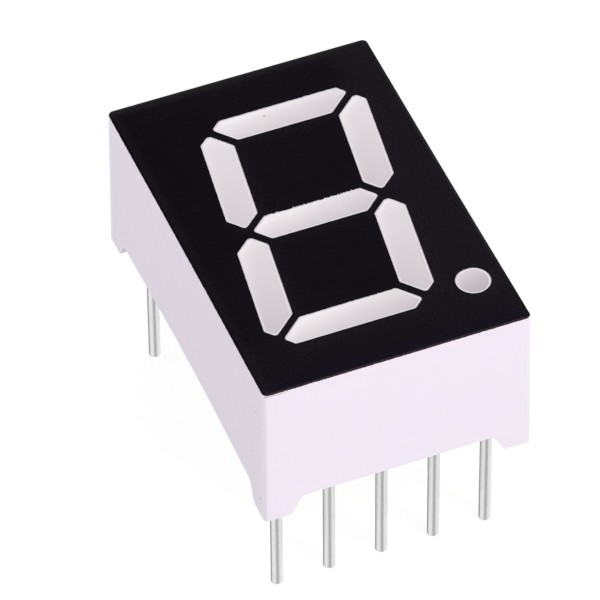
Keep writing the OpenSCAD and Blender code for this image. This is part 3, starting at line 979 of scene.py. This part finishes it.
def run_tin(tree, given, wires):
    """Hot tin that ran a little uneven down each wire, above its tip."""
    at = tree.add("GeometryNodeInputPosition").outputs[0]
    wave = tree.noise({"Vector": at, "Scale": 900.0, "Detail": 1.0})
    swell = tree.times(tree.math("SUBTRACT", wave, 0.5), -TIN_SKIN)
    above = tree.math("GREATER_THAN", tree.parts(at)["Z"],
                      tree.math("ADD", given["Low end"], given["Tip radius"]))
    offset = tree.vector_math("SCALE", {
        0: tree.add("GeometryNodeInputNormal").outputs[0],
        "Scale": tree.times(tree.math("SUBTRACT", swell, TIN_SKIN / 2), above),
    })
    return tree.add("GeometryNodeSetPosition", {"Geometry": wires, "Offset": offset}).outputs[0]


def pin_rows(material):
    """Both rows of pins, as one Geometry Nodes tree with the CAD pins' places and sizes."""
    boxes = [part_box(pin) for pin in PINS]
    across = sorted((low.x + high.x) / 2 for low, high in boxes)
    up = [(low.y + high.y) / 2 for low, high in boxes]
    low, high = boxes[0]
    values = {
        "Pitch": ("Float", (across[-1] - across[0]) / 4),
        "Row gap": ("Float", max(up) - min(up)),
        "Pins a row": ("Int", 5),
        "Radius": ("Float", (high.x - low.x) / 2),
        "Tip radius": ("Float", 0.12 * MM),
        "Low end": ("Float", low.z),
        "High end": ("Float", high.z),
        "Seed": ("Int", 7),
        "Finish": ("Material", material),
    }
    group = bpy.data.node_groups.new("pin rows", "GeometryNodeTree")
    sockets = {
        label: group.interface.new_socket(label, in_out="INPUT", socket_type="NodeSocket" + kind)
        for label, (kind, _) in values.items()
    }
    group.interface.new_socket("Geometry", in_out="OUTPUT", socket_type="NodeSocketGeometry")
    tree = Tree(group)
    given = tree.add("NodeGroupInput").outputs
    tinned = run_tin(tree, given, set_in_rows(tree, given, draw_pin(tree, given)))
    finish = tree.add("GeometryNodeSetMaterial", {
        "Geometry": tinned, "Material": given["Finish"]}).outputs[0]
    tree.link(finish, tree.add("NodeGroupOutput").inputs[0])

    holder = add_object("pin rows", bpy.data.meshes.new("pin rows"))
    modifier = holder.modifiers.new("pin rows", "NODES")
    modifier.node_group = group
    for label, (_, value) in values.items():
        modifier[sockets[label].identifier] = value
    bpy.context.view_layer.update()
    mesh = bpy.data.meshes.new_from_object(
        holder.evaluated_get(bpy.context.evaluated_depsgraph_get()))
    bpy.data.objects.remove(holder)
    finish_piece("tinned_pins", mesh, material, PINS, sharp=50)


# ---- The potting ----

def pour_potting():
    """The clear casting over the board's back, drawn up each pin and each wall where it wetted."""
    low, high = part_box("back_potting")
    board_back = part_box("circuit_board")[0].z
    # It is bonded to the walls, the pins and the board, so it reaches a little way into each
    wall = Vector((high.x + BOND, high.y + BOND, 0))
    corner = 0.3 * MM
    pins = [((a.x + b.x) / 2, (a.y + b.y) / 2) for a, b in (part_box(pin) for pin in PINS)]
    radius = (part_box("pin_1")[1].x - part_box("pin_1")[0].x) / 2 - BOND

    outline = []
    for cx, cy, start in ((1, -1, -90), (1, 1, 0), (-1, 1, 90), (-1, -1, 180)):
        middle = Vector((cx * (wall.x - corner), cy * (wall.y - corner), 0))
        for turn in range(start, start + 91, 15):
            angle = math.radians(turn)
            outline.append(middle + corner * Vector((math.cos(angle), math.sin(angle), 0)))
    outline = divided(outline, 0.25 * MM)
    holes = [circle(x, y, radius, 24) for x, y in pins]

    def surface(x, y):
        edge = min(wall.x - abs(x), wall.y - abs(y))
        climb = 0.9 * POTTING_CLIMB * math.exp(-edge / (0.35 * MM))
        for px, py in pins:
            away = max(0.0, math.hypot(x - px, y - py) - radius)
            climb += POTTING_CLIMB * math.exp(-away / (0.22 * MM))
        swirl = 0.012 * MM * noise.noise(Vector((x, y, 0)) / (2.2 * MM))
        return low.z + swirl - climb

    # Rings round each pin, rings inside the walls, and a plain grid between
    points, edges, _ = flat_sketch([outline, *holes])
    for x, y in pins:
        for out, count in ((0.08, 24), (0.18, 24), (0.34, 20), (0.6, 16)):
            points += [p.to_2d() for p in circle(x, y, radius + out * MM, count)]
    for inset in (0.08, 0.2, 0.4):
        for p in outline[::2]:
            points.append(
                Vector((p.x * (1 - inset * MM / wall.x), p.y * (1 - inset * MM / wall.y))))
    step = 0.5 * MM
    for i in range(-10, 11):
        for j in range(-17, 18):
            at = Vector((i * step, j * step))
            if all(math.hypot(at.x - x, at.y - y) > radius + 0.65 * MM for x, y in pins):
                points.append(at)
    verts, _, faces, *_ = delaunay_2d_cdt(points, edges, [], 0, 1e-9)

    def is_resin(face):
        x, y = middle_of(face, verts)
        in_wall = abs(x) > wall.x or abs(y) > wall.y
        return not in_wall and all(math.hypot(x - px, y - py) >= radius * 0.98 for px, py in pins)

    build = bmesh.new()
    back = ring(build, [(p.x, p.y, surface(p.x, p.y)) for p in verts])
    for face in filter(is_resin, faces):
        build.faces.new([back[i] for i in reversed(face)])
    bmesh.ops.delete(build, geom=[v for v in build.verts if not v.link_faces], context="VERTS")

    def rims():
        return [e for e in build.edges if len(e.link_faces) == 1]

    for made in bmesh.ops.extrude_edge_only(build, edges=rims())["geom"]:
        if isinstance(made, bmesh.types.BMVert):
            made.co.z = board_back + BOND
    bmesh.ops.triangle_fill(build, use_beauty=True, edges=rims(), normal=(0, 0, 1))
    bmesh.ops.recalc_face_normals(build, faces=build.faces)
    finish_mesh("potting", build, FINISH["potting"], ["back_potting"], sharp=50)


# ---- Everything together ----

FINISH = {
    "housing": moulded_white(),
    "ink": face_black(),
    "epoxy": milky_epoxy(),
    "potting": clear_potting(),
    "board": glass_laminate(),
    "copper": bright_metal(
        "etched copper", (0.86, 0.50, 0.33, 1), (0.72, 0.38, 0.24, 1), (0.28, 0.46), 0.4),
    "die": die_stone(),
    "silver_glue": bright_metal(
        "silver glue", (0.56, 0.56, 0.55, 1), (0.44, 0.44, 0.43, 1), (0.5, 0.75), 0.06),
    "gold": bright_metal(
        "gold wire", (0.95, 0.74, 0.34, 1), (0.90, 0.66, 0.28, 1), (0.16, 0.28), 0.05),
    "solder": bright_metal(
        "solder", (0.72, 0.72, 0.71, 1), (0.58, 0.58, 0.57, 1), (0.22, 0.42), 0.3),
    "pin": bright_metal(
        "tin plate", (0.797, 0.795, 0.797, 1), (0.770, 0.768, 0.770, 1), (0.24, 0.34), 0.06,
        (1.0, 1.0, 12.0)),
}


def finish_cad_nodes():
    """Each CAD node takes the finish of its slot in the record."""
    for part in frame["record"]["subparts"]:
        for slot in cad[part["node"]].material_slots:
            slot.material = FINISH[part["material_slot"]]


bpy.context.scene.view_settings.view_transform = "Standard"
add_camera()
light_world()
lay_floor()
add_softbox("key", Vector((0.16, -0.34, 0.30)), 0.22, 0.72)
add_softbox("left fill", Vector((-0.055, 0.045, 0.035)), 0.03, 0.006, (0.95, 0.95, 1.0))
add_flag("front flag", 187.7, 56.0, 0.35, 0.56)
add_flag("left flag", 341.5, 79.0, 0.35, 0.32)

finish_cad_nodes()
print_face()
for letter in SEGMENTS:
    cast_segment(letter)
caught_speck()
pin_rows(FINISH["pin"])
pour_potting()
